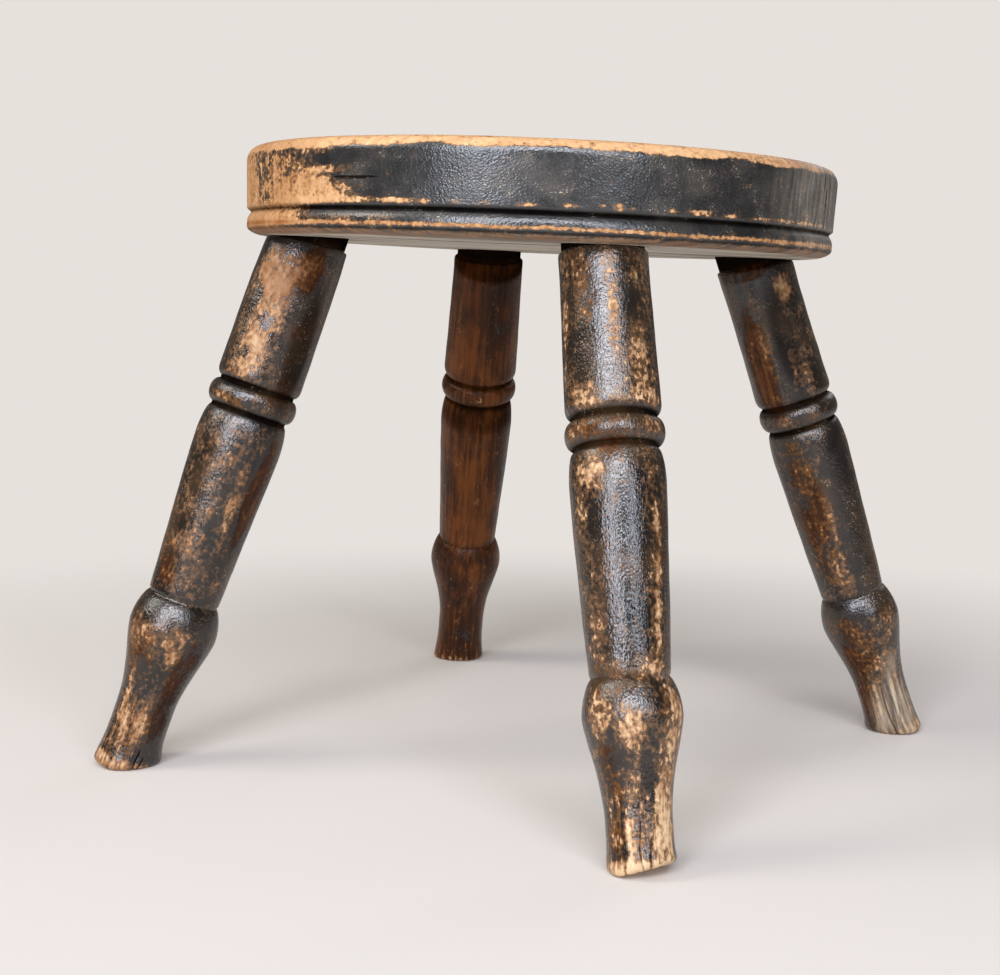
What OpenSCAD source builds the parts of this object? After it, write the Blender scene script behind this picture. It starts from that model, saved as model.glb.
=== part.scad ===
// Fireside stool: a round turned seat on four splayed, turned legs.
// Each leg ends in a tenon that passes right through the seat board and is
// spread by a wedge driven in across the board's grain.
// The origin is on the floor, midway between the outermost feet. +Z is up.

/* [Seat] */
// Diameter of the seat at its top edge
seat_d = 234; // [215:1:300]
// Thickness of the seat board
seat_t = 34; // [28:0.5:45]
// Height of the board's underside above the floor, at its centre
seat_h = 205; // [180:1:240]
// Lean of the worn stool towards its right-hand legs, in degrees
seat_lean = 1.75; // [0:0.25:3]
// Direction of the board's grain seen from above, in degrees
seat_grain = 32; // [0:1:180]

/* [Seat edge] */
// Radius that rounds the top edge
top_round = 5.5; // [2:0.5:8]
// How much the upright band draws in from its top to its foot
band_draft = 0.6; // [0:0.1:2]
// Height of the scribed groove above the underside
groove_z = 9; // [8:0.25:12]
// Width of the scribed groove at its mouth
groove_w = 2.6; // [1.5:0.1:4]
// Depth of the scribed groove
groove_depth = 1.7; // [0.5:0.1:3]
// Radius that rounds the arris between the groove and the bead
bead_round = 1.2; // [0.5:0.1:1.6]
// Height of the bead's lower arris above the underside
bead_z = 3.4; // [2:0.1:4.5]
// Width of the rounding from the bead to the flat underside
under_round = 8; // [3:0.5:8]

/* [Leg setting] */
// Distance of each socket's centre from the seat's edge, at the underside
socket_inset = 25; // [25:0.5:45]
// Splay of the left, back, front and right leg, in degrees
leg_splay = [18, 20, 18.5, 21]; // [15:0.5:22]
// Turn of each of these legs away from its diagonal, in degrees
leg_turn = [4, -6.5, 3.5, -5]; // [-8:0.5:8]

/* [Upper length] */
// Diameter of the leg at its shoulder, under the seat
shoulder_d = 31.4; // [30.5:0.1:33]
// Radius that rounds the shoulder
shoulder_round = 1.1; // [0.5:0.1:1.5]
// Diameter at the lower end of the upper length
upper_d = 33; // [31:0.1:38]

/* [Ring] */
// Distance of the ring's middle below the seat, along the leg
ring_at = 67.8; // [50:0.2:80]
// Diameter of the half-round ring
ring_d = 34.4; // [32:0.1:40]
// Height of the half-round ring
ring_h = 9.2; // [6:0.2:12]
// Diameter in the cuts above and below the ring
ring_cut_d = 29.2; // [26:0.1:30.5]
// Width of each of these cuts
ring_cut_w = 1.4; // [0.5:0.1:3]
// Length of the rounding from the upper length into its cut
ring_cut_round = 3.8; // [1:0.2:6]

/* [Lower length] */
// Diameter of the lower length at its fullest
belly_d = 33.2; // [31:0.1:38]
// Distance from the lower cut to the fullest place
belly_rise = 12; // [8:0.5:16]
// Diameter of the leg at the knee line
knee_d = 27.2; // [24:0.1:30]
// Depth of the scribed knee line
knee_line_depth = 0.5; // [0.2:0.1:1.5]
// Width of the scribed knee line
knee_line_w = 1.6; // [0.8:0.1:3]

/* [Bulb and foot] */
// Diameter of the bulb at its fullest
bulb_d = 33.8; // [31:0.1:40]
// Distance from the knee line down to the bulb's fullest place
bulb_rise = 13; // [10:0.5:18]
// Distance from the bulb's fullest place to the end of the longest leg
bulb_up = 59; // [54:0.5:64]
// Diameter of the ankle
ankle_d = 22.1; // [19:0.1:24]
// Distance from the bulb's fullest place down to the ankle
ankle_drop = 34.5; // [28:0.5:40]
// Straight length of the ankle
ankle_straight = 4; // [0:0.5:6]
// Diameter of the flared foot
foot_d = 24.8; // [24:0.1:30]
// How far the leg's square end reaches past the floor, where it meets the leg's axis
heel = 2; // [0.5:0.5:8]

/* [Joints] */
// Diameter of the tenon that passes through the seat
tenon_d = 29; // [22:0.1:29.5]
// Gap left for glue round the tenon and on each side of the wedge
glue = 0.05; // [0.02:0.01:0.15]
// Thickness of the wedge at the seat's top
wedge_t = 4; // [2.5:0.1:6]
// Thickness of the wedge at its driven tip
wedge_tip = 1; // [0.5:0.1:2]
// Length of the wedge from the seat's top to its tip
wedge_len = 22; // [14:0.5:26]
// Depth left open in the kerf below the wedge's tip
kerf_spare = 1.5; // [0.5:0.25:3]

/* [Colours] */
// Worn black finish of the seat
seat_colour = "#38312d";
// Worn black finish of the legs
leg_colour = "#3f3630";
// Bare wood of the wedges
wedge_colour = "#a87845";

/* [Hidden] */
$fn = 120;

// The legs' places in the lists of splays and turns
LEFT = 0;
BACK = 1;
FRONT = 2;
RIGHT = 3;
// Direction of each leg's socket from the seat's centre
diagonal = [-135, 135, -45, 45];

// Fullness of the curve from the knee to the bulb: 1 is a plain sine
bulb_fullness = 0.75;
// Taper of the lower length: 1 is straight, and more keeps it full for longer
lower_taper = 1.15;
// How early the curve under the bulb draws in: 1 is a plain cosine
ankle_draw = 0.75;
arc_steps = 8;
curve_steps = 12;

seat_r = seat_d / 2;
band_foot_r = seat_r - band_draft;
socket_r = seat_r - socket_inset;
cut_r = ring_cut_d / 2;
shoulder_fillet = min(shoulder_round, (shoulder_d - tenon_d) / 2);

// Overlength of what is cut off flush later
spare = tenon_d / 2;
// Length of the tenon's blank above the underside
tenon_reach = seat_t + 2 * spare;
// Side of the blocks that stand for the space below the seat's top and above the floor
block = 4 * (seat_d + seat_h);

// Direction of leg i seen from above, in the seat's own frame
function heading(i) = diagonal[i] + leg_turn[i];

// Unit vector down leg i, in the seat's own frame
function down(i) = [
    sin(leg_splay[i]) * cos(heading(i)),
    sin(leg_splay[i]) * sin(heading(i)),
    -cos(leg_splay[i])
];

// A vector of the seat's own frame, turned by the stool's lean
function leaned(v) = [
    v.x * cos(seat_lean) + v.z * sin(seat_lean),
    v.y,
    v.z * cos(seat_lean) - v.x * sin(seat_lean)
];

// Centre of socket i at the underside, in the seat's own frame
function socket(i) = socket_r * [cos(diagonal[i]), sin(diagonal[i]), 0];

// Length of leg i along its axis, from the underside to the floor
function leg_length(i) = (seat_h + leaned(socket(i)).z) / -leaned(down(i)).z;

// Where leg i's axis meets the floor, measured from below the seat's centre
function foot_place(i) = leaned(socket(i)) + leg_length(i) * leaned(down(i));

feet_x = [for (i = [LEFT : RIGHT]) foot_place(i).x];
feet_y = [for (i = [LEFT : RIGHT]) foot_place(i).y];
feet_middle = [(min(feet_x) + max(feet_x)) / 2, (min(feet_y) + max(feet_y)) / 2, 0];

// All four legs are turned alike, to the length of the longest. Each is sawn off square and
// then levelled on the floor, which leaves the outer side of its foot a little raised.
turned_len = max([for (i = [LEFT : RIGHT]) leg_length(i)]);
bulb_at = turned_len - bulb_up;
knee_at = bulb_at - bulb_rise;
flare_at = bulb_at + ankle_drop + ankle_straight;
belly_at = ring_at + ring_h / 2 + ring_cut_w + belly_rise;

// How far below the underside leg i's shoulder starts, so that its outer side meets the seat
function shoulder_at(i) = shoulder_d / 2 * tan(leg_splay[i]);

// Angle in leg i's own cross-section at which its kerf lies across the seat's grain
function kerf_angle(i) =
    let (across = seat_grain + 90 - heading(i))
    atan2(sin(across), cos(across) * cos(leg_splay[i]));

// Points of an ellipse about [x, y] with half axes a and b, from angle start to angle end
function arc(x, y, a, b, start, end, steps = arc_steps) = [
    for (k = [0 : steps])
        let (t = start + (end - start) * k / steps)
        [x + a * cos(t), y + b * sin(t)]
];

// Half the seat's outline, as radius and height above the underside
function seat_outline() = concat(
    [[0, 0]],
    arc(band_foot_r - under_round, bead_z, under_round, bead_z, -90, 0),
    arc(band_foot_r - bead_round, groove_z - groove_w / 2 - bead_round, bead_round, bead_round, 0, 60, 4),
    [[band_foot_r - groove_depth, groove_z]],
    [[band_foot_r, groove_z + groove_w / 2]],
    arc(seat_r - top_round, seat_t - top_round, top_round, top_round, 0, 90),
    [[0, seat_t]]
);

// The outlines along a leg hold a radius and the distance below the underside
function tenon_outline(shoulder) = [
    [0, -tenon_reach],
    [tenon_d / 2, -tenon_reach],
    [tenon_d / 2, shoulder]
];

function upper_outline(shoulder) = concat(
    arc(shoulder_d / 2 - shoulder_fillet, shoulder + shoulder_fillet,
        shoulder_fillet, shoulder_fillet, -90, 0, 4),
    arc(cut_r, ring_at - ring_h / 2 - ring_cut_w - ring_cut_round,
        upper_d / 2 - cut_r, ring_cut_round, 0, 90)
);

function ring_outline() =
    arc(cut_r, ring_at, ring_d / 2 - cut_r, ring_h / 2, -90, 90, curve_steps);

function lower_outline() =
    let (taper_len = knee_at - knee_line_w / 2 - belly_at)
    concat(
        arc(cut_r, belly_at, belly_d / 2 - cut_r, belly_rise, -90, 0),
        [for (k = [1 : curve_steps])
            let (t = k / curve_steps)
            [(belly_d - (belly_d - knee_d) * pow(t, lower_taper)) / 2, belly_at + taper_len * t]],
        [[knee_d / 2 - knee_line_depth, knee_at]]
    );

function bulb_outline() =
    let (start = knee_at + knee_line_w / 2)
    concat(
        [for (k = [0 : curve_steps])
            let (t = k / curve_steps)
            [(knee_d + (bulb_d - knee_d) * pow(sin(90 * t), bulb_fullness)) / 2,
             start + (bulb_at - start) * t]],
        [for (k = [1 : curve_steps])
            let (t = k / curve_steps)
            [(ankle_d + (bulb_d - ankle_d) * (1 + cos(180 * pow(t, ankle_draw))) / 2) / 2,
             bulb_at + ankle_drop * t]]
    );

function foot_outline() = concat(
    [for (k = [0 : arc_steps])
        let (t = k / arc_steps)
        [(ankle_d + (foot_d - ankle_d) * t * t) / 2, flare_at + (turned_len - flare_at) * t]],
    [[foot_d / 2, turned_len + spare]],
    [[0, turned_len + spare]]
);

// Puts what is drawn in the seat's own frame at its height and lean
module in_place() {
    translate([0, 0, seat_h] - feet_middle)
        rotate([0, seat_lean, 0])
            children();
}

// Puts what is drawn along leg i's axis into its socket, with the foot end below and X along the kerf
module in_socket(i) {
    translate(socket(i))
        rotate([0, -leg_splay[i], heading(i)])
            rotate([0, 0, kerf_angle(i)])
                children();
}

module below_seat_top() {
    translate([-block / 2, -block / 2, seat_t - block])
        cube(block);
}

module above_floor() {
    translate([-block / 2, -block / 2, 0])
        cube(block);
}

module above_square_end(i) {
    translate([-block / 2, -block / 2, -leg_length(i) - heel])
        cube(block);
}

module tenon_bore(i) {
    in_socket(i)
        translate([0, 0, -spare])
            cylinder(d = tenon_d + 2 * glue, h = tenon_reach + spare);
}

module turned_leg(i) {
    outline = concat(
        tenon_outline(shoulder_at(i)),
        upper_outline(shoulder_at(i)),
        ring_outline(),
        lower_outline(),
        bulb_outline(),
        foot_outline()
    );
    rotate_extrude()
        polygon([for (p = outline) [p.x, -p.y]]);
}

// The wedge of leg i before it is trimmed, grown by gap on its faces and by extra at its tip
module wedge_blank(i, gap, extra) {
    top = seat_t / cos(leg_splay[i]);
    tip = top - wedge_len;
    slope = (wedge_t - wedge_tip) / 2 / wedge_len;
    low = wedge_tip / 2 + gap - slope * extra;
    high = wedge_t / 2 + gap + slope * spare;
    outline = [[-low, tip - extra], [low, tip - extra], [high, top + spare], [-high, top + spare]];
    rotate([90, 0, 90])
        translate([0, 0, -tenon_d])
            linear_extrude(2 * tenon_d)
                polygon(outline);
}

module seat() {
    color(seat_colour)
        in_place()
            difference() {
                rotate_extrude()
                    polygon(seat_outline());
                for (i = [LEFT : RIGHT])
                    tenon_bore(i);
            }
}

module leg(i) {
    color(leg_colour)
        intersection() {
            in_place()
                intersection() {
                    in_socket(i)
                        difference() {
                            intersection() {
                                turned_leg(i);
                                above_square_end(i);
                            }
                            wedge_blank(i, glue, kerf_spare);
                        }
                    below_seat_top();
                }
            above_floor();
        }
}

module wedge(i) {
    color(wedge_colour)
        in_place()
            intersection() {
                in_socket(i)
                    intersection() {
                        wedge_blank(i, 0, 0);
                        cylinder(d = tenon_d, h = tenon_reach);
                    }
                below_seat_top();
            }
}

seat();
leg(LEFT);  // leg_left
leg(BACK);  // leg_back
leg(FRONT);  // leg_front
leg(RIGHT);  // leg_right
wedge(LEFT);  // wedge_left
wedge(BACK);  // wedge_back
wedge(FRONT);  // wedge_front
wedge(RIGHT);  // wedge_right
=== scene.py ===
"""Looks of a fireside stool: ebonised beech, turned and wedged, rubbed through by long use.

Lengths are in millimetres and angles in degrees until a mesh is made, which is in metres and
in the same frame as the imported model.
"""

import logging
import math
from dataclasses import dataclass
from enum import Enum

import bmesh
import bpy
import numpy as np
from mathutils import Matrix, Vector, noise


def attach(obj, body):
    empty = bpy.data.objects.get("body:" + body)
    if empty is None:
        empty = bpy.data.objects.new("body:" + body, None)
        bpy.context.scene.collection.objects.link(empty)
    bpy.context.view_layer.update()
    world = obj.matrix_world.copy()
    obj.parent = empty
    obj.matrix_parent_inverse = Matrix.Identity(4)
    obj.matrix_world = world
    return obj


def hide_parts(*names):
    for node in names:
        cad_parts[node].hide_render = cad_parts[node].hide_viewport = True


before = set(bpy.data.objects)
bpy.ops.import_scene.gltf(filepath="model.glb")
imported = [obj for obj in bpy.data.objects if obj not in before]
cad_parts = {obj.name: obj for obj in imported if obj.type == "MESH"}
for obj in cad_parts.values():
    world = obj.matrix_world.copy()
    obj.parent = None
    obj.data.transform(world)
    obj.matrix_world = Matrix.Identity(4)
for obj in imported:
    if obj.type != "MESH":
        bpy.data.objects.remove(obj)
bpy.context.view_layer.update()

MM = 0.001
PHOTO_WIDTH, PHOTO_HEIGHT = 1000, 975
SENSOR_MM = 36.0
GRAIN = "grain"
MOST_WEAR = 1.4  # of any layer, where 1 is full wear
SHARP_EDGE = 50.0  # the shading breaks where faces meet at more than this
SMOOTH = {"interpolation_type": "SMOOTHSTEP"}

log = logging.getLogger("stool")


def linear(colour: str) -> tuple[float, float, float, float]:
    """Turn an sRGB hex colour, with its hash, into linear RGBA with an alpha of 1."""
    shares = [int(colour[k : k + 2], 16) / 255 for k in (1, 3, 5)]
    return (*[c / 12.92 if c <= 0.04045 else ((c + 0.055) / 1.055) ** 2.4 for c in shares], 1.0)


def smooth(value: np.ndarray, low: float, high: float) -> np.ndarray:
    """Rise smoothly from 0 where a value is low to 1 where it is high."""
    share = np.clip((value - low) / (high - low), 0, 1)
    return share * share * (3 - 2 * share)


def lumps(points: np.ndarray, size: float, seed: float) -> np.ndarray:
    """Sample soft lumps of one size in mm at each place, from about -1 to 1."""
    shifted = points / size + seed
    return np.array([noise.noise(p) for p in shifted])


def near(value: np.ndarray, at: float, width: float) -> np.ndarray:
    """Fall softly from 1 at one value to about a third at a width to each side of it."""
    return np.exp(-(((value - at) / width) ** 2))


def turned(around: np.ndarray, way: float | np.ndarray) -> np.ndarray:
    """Angles from one direction, from -180 to 180."""
    return (around - way + 180) % 360 - 180


def lesser(first: np.ndarray, second: np.ndarray, crease: float) -> np.ndarray:
    """Take the smaller of two distances, rounded where they cross by a crease in mm2."""
    gap = first - second
    return first - (gap + np.sqrt(gap**2 + crease)) / 2


def arc(x: float, y: float, a: float, b: float, start: float, end: float, steps: int = 24) -> list:
    """Trace an ellipse about (x, y) with half axes a and b, as (radius, distance)."""
    turns = np.radians(np.linspace(start, end, steps + 1))
    return [(x + a * math.cos(t), y + b * math.sin(t)) for t in turns]


def resample(outline: list, spacing: float) -> np.ndarray:
    """Space points evenly along an outline.

    Args:
        outline: The outline's own points.
        spacing: The wanted distance between two points.

    Returns:
        The evenly spaced points, one row each.
    """
    points = np.array(outline, float)
    points = points[np.r_[True, np.linalg.norm(np.diff(points, axis=0), axis=1) > 1e-6]]
    run = np.r_[0, np.cumsum(np.linalg.norm(np.diff(points, axis=0), axis=1))]
    at = np.linspace(0, run[-1], int(run[-1] / spacing) + 1)
    return np.stack([np.interp(at, run, points[:, k]) for k in (0, 1)], axis=1)


class Wear(Enum):
    """The layers of wear and of painted shade that a finish reads, each kept as one number for each
    vertex.
    """

    BARE = "bare"  # the finish is rubbed through to the wood
    THIN = "thin"  # the black is worn thin, so that the brown stain shows
    GRIME = "grime"  # the wood is weathered grey
    SOOT = "soot"  # black dirt caked in grooves and cracks, and painted shade in recesses, under the seat and on shaded sides
    OIL = "oil"  # hands and polish have browned the bare wood
    STREAK = "streak"  # the wear follows the grain


class Corner(Enum):
    """The legs as the front view names them, by the direction of their sockets."""

    LEFT = -135.0
    BACK = 135.0
    FRONT = -45.0
    RIGHT = 45.0

    @property
    def node(self) -> str:
        """Name of the leg's node in the frame."""
        return f"leg_{self.name.lower()}"

    @property
    def wedge(self) -> str:
        """Name of its wedge's node in the frame."""
        return f"wedge_{self.name.lower()}"


@dataclass(frozen=True)
class Patch:
    """A soft-edged patch of one kind of wear.

    Attributes:
        layer: Which layer of wear it adds to.
        along: Its middle along the leg, or its height on the seat's edge.
        around: Its middle round the axis.
        length: Half its length.
        width: Half its width round the axis.
        amount: What it adds at its middle, and negative where the finish held better.
        core: Share of its reach at which it starts to fade.
        fade: Share of its reach at which it has faded out.
    """

    layer: Wear
    along: float
    around: float
    length: float
    width: float
    amount: float
    core: float = 0.5
    fade: float = 1.5

    def weight(self, along: np.ndarray, around: np.ndarray) -> np.ndarray:
        """What the patch adds at each place.

        Args:
            along: Distances in mm.
            around: Angles in degrees.

        Returns:
            The amounts.
        """
        turn = turned(around, self.around)
        reach = np.hypot((along - self.along) / self.length, turn / self.width)
        return self.amount * (1 - smooth(reach, self.core, self.fade))


@dataclass(frozen=True)
class Crack:
    """A check or split that runs mostly along the grain.

    Attributes:
        start: Where it starts along the piece.
        end: Where it ends.
        around: Its angle at the start.
        drift: How far it wanders round the axis by its end.
        width: Half its width in mm.
        depth: Its depth in mm.
        runs_out: Whether it is still open at its end, as where it reaches the end grain.
        sway: How far it snakes to each side, in degrees.
        bends: How fast it snakes, in radians over its length.
        opens: The share of its length over which it opens.
        closes: The share of its length over which it closes again.
    """

    start: float
    end: float
    around: float
    drift: float
    width: float
    depth: float
    runs_out: bool = False
    sway: float = 2.0
    bends: float = 9.0
    opens: tuple = (-0.02, 0.3)
    closes: tuple = (0.8, 1.02)

    def sink(self, along: np.ndarray, around: np.ndarray, radius: np.ndarray) -> np.ndarray:
        """How deep the crack is at each place.

        Args:
            along: Distances in mm.
            around: Angles in degrees.
            radius: Distances from the axis in mm.

        Returns:
            The depths in mm.
        """
        share = (along - self.start) / (self.end - self.start)
        middle = self.around + self.drift * share + self.sway * np.sin(self.bends * share)
        off = np.radians(turned(around, middle)) * np.maximum(radius, 1)
        ends = smooth(share, *self.opens)
        if not self.runs_out:
            ends = ends * (1 - smooth(share, *self.closes))
        return self.depth * ends * near(off, 0, self.width)


@dataclass(frozen=True)
class Facet:
    """A slope worn into a foot's end.

    Attributes:
        around: Which side of the foot it is on.
        start: How far from the axis it starts in mm.
        slope: How much it rises for each mm outward.
    """

    around: float
    start: float
    slope: float

    def plane(self, x: np.ndarray, y: np.ndarray, level: float) -> np.ndarray:
        """Distance down the leg of the worn face, at a place across the leg."""
        way = math.radians(self.around)
        return level - self.slope * (x * math.cos(way) + y * math.sin(way) - self.start)


@dataclass(frozen=True)
class Stance:
    """How the stool stands: the seat's height and lean, and the set of its legs."""

    seat_height: float = 205.0
    seat_lean: float = 1.75  # down to the right
    seat_radius: float = 117.0
    seat_thickness: float = 34.0
    seat_grain: float = 32.0
    socket_inset: float = 25.0  # from the seat's rim to the leg's axis, at the underside
    heel: float = 2.0  # left past the axis when the foot is sawn off square
    splays: tuple = (18.0, 20.0, 18.5, 21.0)
    turns: tuple = (4.0, -6.5, 3.5, -5.0)  # off the sockets' directions

    def splay(self, corner: Corner) -> float:
        """Splay of one leg."""
        return self.splays[list(Corner).index(corner)]

    def heading(self, corner: Corner) -> float:
        """Direction of one leg seen from above, in the seat's frame."""
        return corner.value + self.turns[list(Corner).index(corner)]

    def leaned(self) -> Matrix:
        """Seat's frame to the upright frame below its centre."""
        lean = Matrix.Rotation(math.radians(self.seat_lean), 4, "Y")
        return Matrix.Translation((0, 0, self.seat_height)) @ lean

    def leg_in_seat(self, corner: Corner) -> Matrix:
        """Leg's frame, with Z up its axis and X outward, to the seat's frame."""
        inset = self.seat_radius - self.socket_inset
        way = math.radians(corner.value)
        place = Matrix.Translation((inset * math.cos(way), inset * math.sin(way), 0))
        turn = Matrix.Rotation(math.radians(self.heading(corner)), 4, "Z")
        return place @ turn @ Matrix.Rotation(math.radians(-self.splay(corner)), 4, "Y")

    def leg_length(self, corner: Corner) -> float:
        """Length of a leg's axis from the underside to the floor."""
        leg = self.leaned() @ self.leg_in_seat(corner)
        return leg.translation.z / leg.col[2].z

    def middle(self) -> Vector:
        """Where the floor's origin lies, midway between the outermost feet."""
        feet = [
            self.leaned() @ self.leg_in_seat(c) @ Vector((0, 0, -self.leg_length(c))) for c in Corner
        ]
        xs, ys = [f.x for f in feet], [f.y for f in feet]
        return Vector(((min(xs) + max(xs)) / 2, (min(ys) + max(ys)) / 2, 0))

    def seat_matrix(self) -> Matrix:
        """Seat's frame to the floor's frame."""
        return Matrix.Translation(-self.middle()) @ self.leaned()

    def leg_matrix(self, corner: Corner) -> Matrix:
        """Leg's frame to the floor's frame."""
        return self.seat_matrix() @ self.leg_in_seat(corner)

    def turned_length(self) -> float:
        """Length to which all the legs are turned."""
        return max(self.leg_length(c) for c in Corner)

    def kerf_angle(self, corner: Corner) -> float:
        """Angle in the leg's cross-section at which its kerf lies across the seat's grain."""
        across = math.radians(self.seat_grain + 90 - self.heading(corner))
        return math.degrees(
            math.atan2(math.sin(across), math.cos(across) * math.cos(math.radians(self.splay(corner))))
        )


@dataclass(frozen=True)
class Turning:
    """The outline that the lathe leaves on a leg.

    A form's bare name is its diameter, and ring_at is a distance down from the underside. The
    other names are lengths, or the powers of the curves where they end in fall, swell or draw.
    """

    tenon: float = 29.0
    shoulder: float = 31.4
    shoulder_round: float = 1.1
    shoulder_lean: float = 0.35
    shoulder_bed: float = 0.5
    shoulder_blend: float = 12.0
    upper: float = 33.0
    ring_at: float = 67.8
    ring: float = 34.4
    ring_height: float = 9.2
    cut: float = 29.2
    cut_width: float = 1.4
    cut_round: float = 3.8
    belly: float = 33.2
    belly_rise: float = 12.0
    knee: float = 27.2
    knee_line_depth: float = 0.5
    knee_line_width: float = 1.6
    bulb: float = 33.8
    bulb_rise: float = 13.0
    bulb_up: float = 59.0
    ankle: float = 22.1
    ankle_drop: float = 34.5
    ankle_straight: float = 4.0
    foot: float = 24.8
    belly_fall: float = 1.15
    bulb_swell: float = 0.75
    ankle_draw: float = 0.75
    flare_draw: float = 2.0
    steps: int = 48

    def cuts(self) -> tuple:
        """Where the two cuts beside the ring lie."""
        off = (self.ring_height + self.cut_width) / 2
        return (self.ring_at - off, self.ring_at + off)

    def outline(self, shoulder_at: float, length: float) -> list:
        """Points down the leg, from the shoulder to the floor end.

        Args:
            shoulder_at: Where the shoulder starts.
            length: Where the foot ends.

        Returns:
            The points as (radius, distance).
        """
        share = np.linspace(0, 1, self.steps + 1)
        cut = self.cut / 2
        bulb_at = length - self.bulb_up
        knee_at = bulb_at - self.bulb_rise
        flare_at = bulb_at + self.ankle_drop + self.ankle_straight
        belly_at = self.ring_at + self.ring_height / 2 + self.cut_width + self.belly_rise
        upper_end = self.ring_at - self.ring_height / 2 - self.cut_width - self.cut_round
        bend = self.shoulder_round
        points = arc(self.shoulder / 2 - bend, shoulder_at + bend, bend, bend, -90, 0, 6)
        points += arc(cut, upper_end, self.upper / 2 - cut, self.cut_round, 0, 90)
        points += arc(cut, self.ring_at, self.ring / 2 - cut, self.ring_height / 2, -90, 90)
        points += arc(cut, belly_at, self.belly / 2 - cut, self.belly_rise, -90, 0)
        taper = knee_at - self.knee_line_width / 2 - belly_at
        lower = (self.belly - (self.belly - self.knee) * share**self.belly_fall) / 2
        points += list(zip(lower, belly_at + taper * share))
        points.append((self.knee / 2 - self.knee_line_depth, knee_at))
        start = knee_at + self.knee_line_width / 2
        rise = self.knee + (self.bulb - self.knee) * np.sin(math.pi / 2 * share) ** self.bulb_swell
        points += list(zip(rise / 2, start + (bulb_at - start) * share))
        draw = (1 + np.cos(math.pi * share**self.ankle_draw)) / 2
        fall = self.ankle + (self.bulb - self.ankle) * draw
        points += list(zip(fall / 2, bulb_at + self.ankle_drop * share))
        flare = self.ankle + (self.foot - self.ankle) * share**self.flare_draw
        points += list(zip(flare / 2, flare_at + (length - flare_at) * share))
        return points


def write_mesh(name: str, points: np.ndarray, faces: list) -> bpy.types.Object:
    """Make a mesh object from points in mm.

    Args:
        name: Name of the piece.
        points: One row for each vertex.
        faces: Lists of vertex numbers.

    Returns:
        The linked object, with its mesh in metres.
    """
    mesh = bpy.data.meshes.new(name)
    mesh.from_pydata(points * MM, [], faces)
    mesh.update()
    piece = bpy.data.objects.new(name, mesh)
    bpy.context.scene.collection.objects.link(piece)
    return piece


def revolved_faces(rows: int, columns: int) -> list:
    """Faces of a closed surface of rings with a pole at each end.

    Args:
        rows: How many rings there are.
        columns: How many points each ring has.

    Returns:
        Lists of vertex numbers, where the two poles come after the rings.
    """
    faces = []
    for row in range(rows - 1):
        for column in range(columns):
            after = (column + 1) % columns
            a, b = row * columns, (row + 1) * columns
            faces.append((a + column, a + after, b + after, b + column))
    top, bottom = rows * columns, rows * columns + 1
    last = (rows - 1) * columns
    for column in range(columns):
        after = (column + 1) % columns
        faces.append((top, after, column))
        faces.append((bottom, last + column, last + after))
    return faces


def revolve(radius: np.ndarray, height: np.ndarray, around: np.ndarray) -> np.ndarray:
    """Set points on rings round Z, one row each, from each ring's radius and height."""
    x, y = radius * np.cos(around), radius * np.sin(around)
    return np.stack([x, y, 0 * x + height], axis=-1).reshape(-1, 3)


def polar(points: np.ndarray) -> tuple[np.ndarray, np.ndarray]:
    """Distances from the Z axis, and angles round it in degrees."""
    x, y = points[:, 0], points[:, 1]
    return np.hypot(x, y), np.degrees(np.arctan2(y, x))


def carve(piece: bpy.types.Object, points: np.ndarray, faces: list) -> None:
    """Cut a closed shape out of a piece.

    Args:
        piece: What is cut.
        points: The shape's vertices in mm, one row each.
        faces: Lists of its vertex numbers, wound either way.
    """
    tool = write_mesh("cutter", points, faces)
    shape = bmesh.new()
    shape.from_mesh(tool.data)
    bmesh.ops.recalc_face_normals(shape, faces=shape.faces)
    shape.to_mesh(tool.data)
    shape.free()
    modifier = piece.modifiers.new("cut", "BOOLEAN")
    modifier.operation = "DIFFERENCE"
    modifier.solver = "MANIFOLD"
    modifier.object = tool
    bpy.context.view_layer.update()
    there = piece.evaluated_get(bpy.context.evaluated_depsgraph_get())
    shaped = bpy.data.meshes.new_from_object(there)
    piece.modifiers.clear()
    piece.data = shaped
    bpy.data.objects.remove(tool)


def mesh_points(mesh: bpy.types.Mesh) -> np.ndarray:
    """Vertices of a mesh in mm, one row each."""
    flat = np.empty(len(mesh.vertices) * 3)
    mesh.vertices.foreach_get("co", flat)
    return flat.reshape(-1, 3) / MM


def carry(matrix: Matrix, points: np.ndarray) -> np.ndarray:
    """Carry points, one row each, from one frame to another."""
    there = np.array(matrix)
    return points @ there[:3, :3].T + there[:3, 3]


def note(mesh: bpy.types.Mesh, name: str, values: np.ndarray) -> None:
    """Keep one number or one vector for each vertex.

    Args:
        mesh: The mesh.
        name: Name of the attribute.
        values: One value or one row for each vertex.
    """
    kind = "FLOAT_VECTOR" if values.ndim == 2 else "FLOAT"
    attribute = mesh.attributes.new(name, kind, "POINT")
    field = "vector" if values.ndim == 2 else "value"
    attribute.data.foreach_set(field, values.astype(np.float32).ravel())


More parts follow.
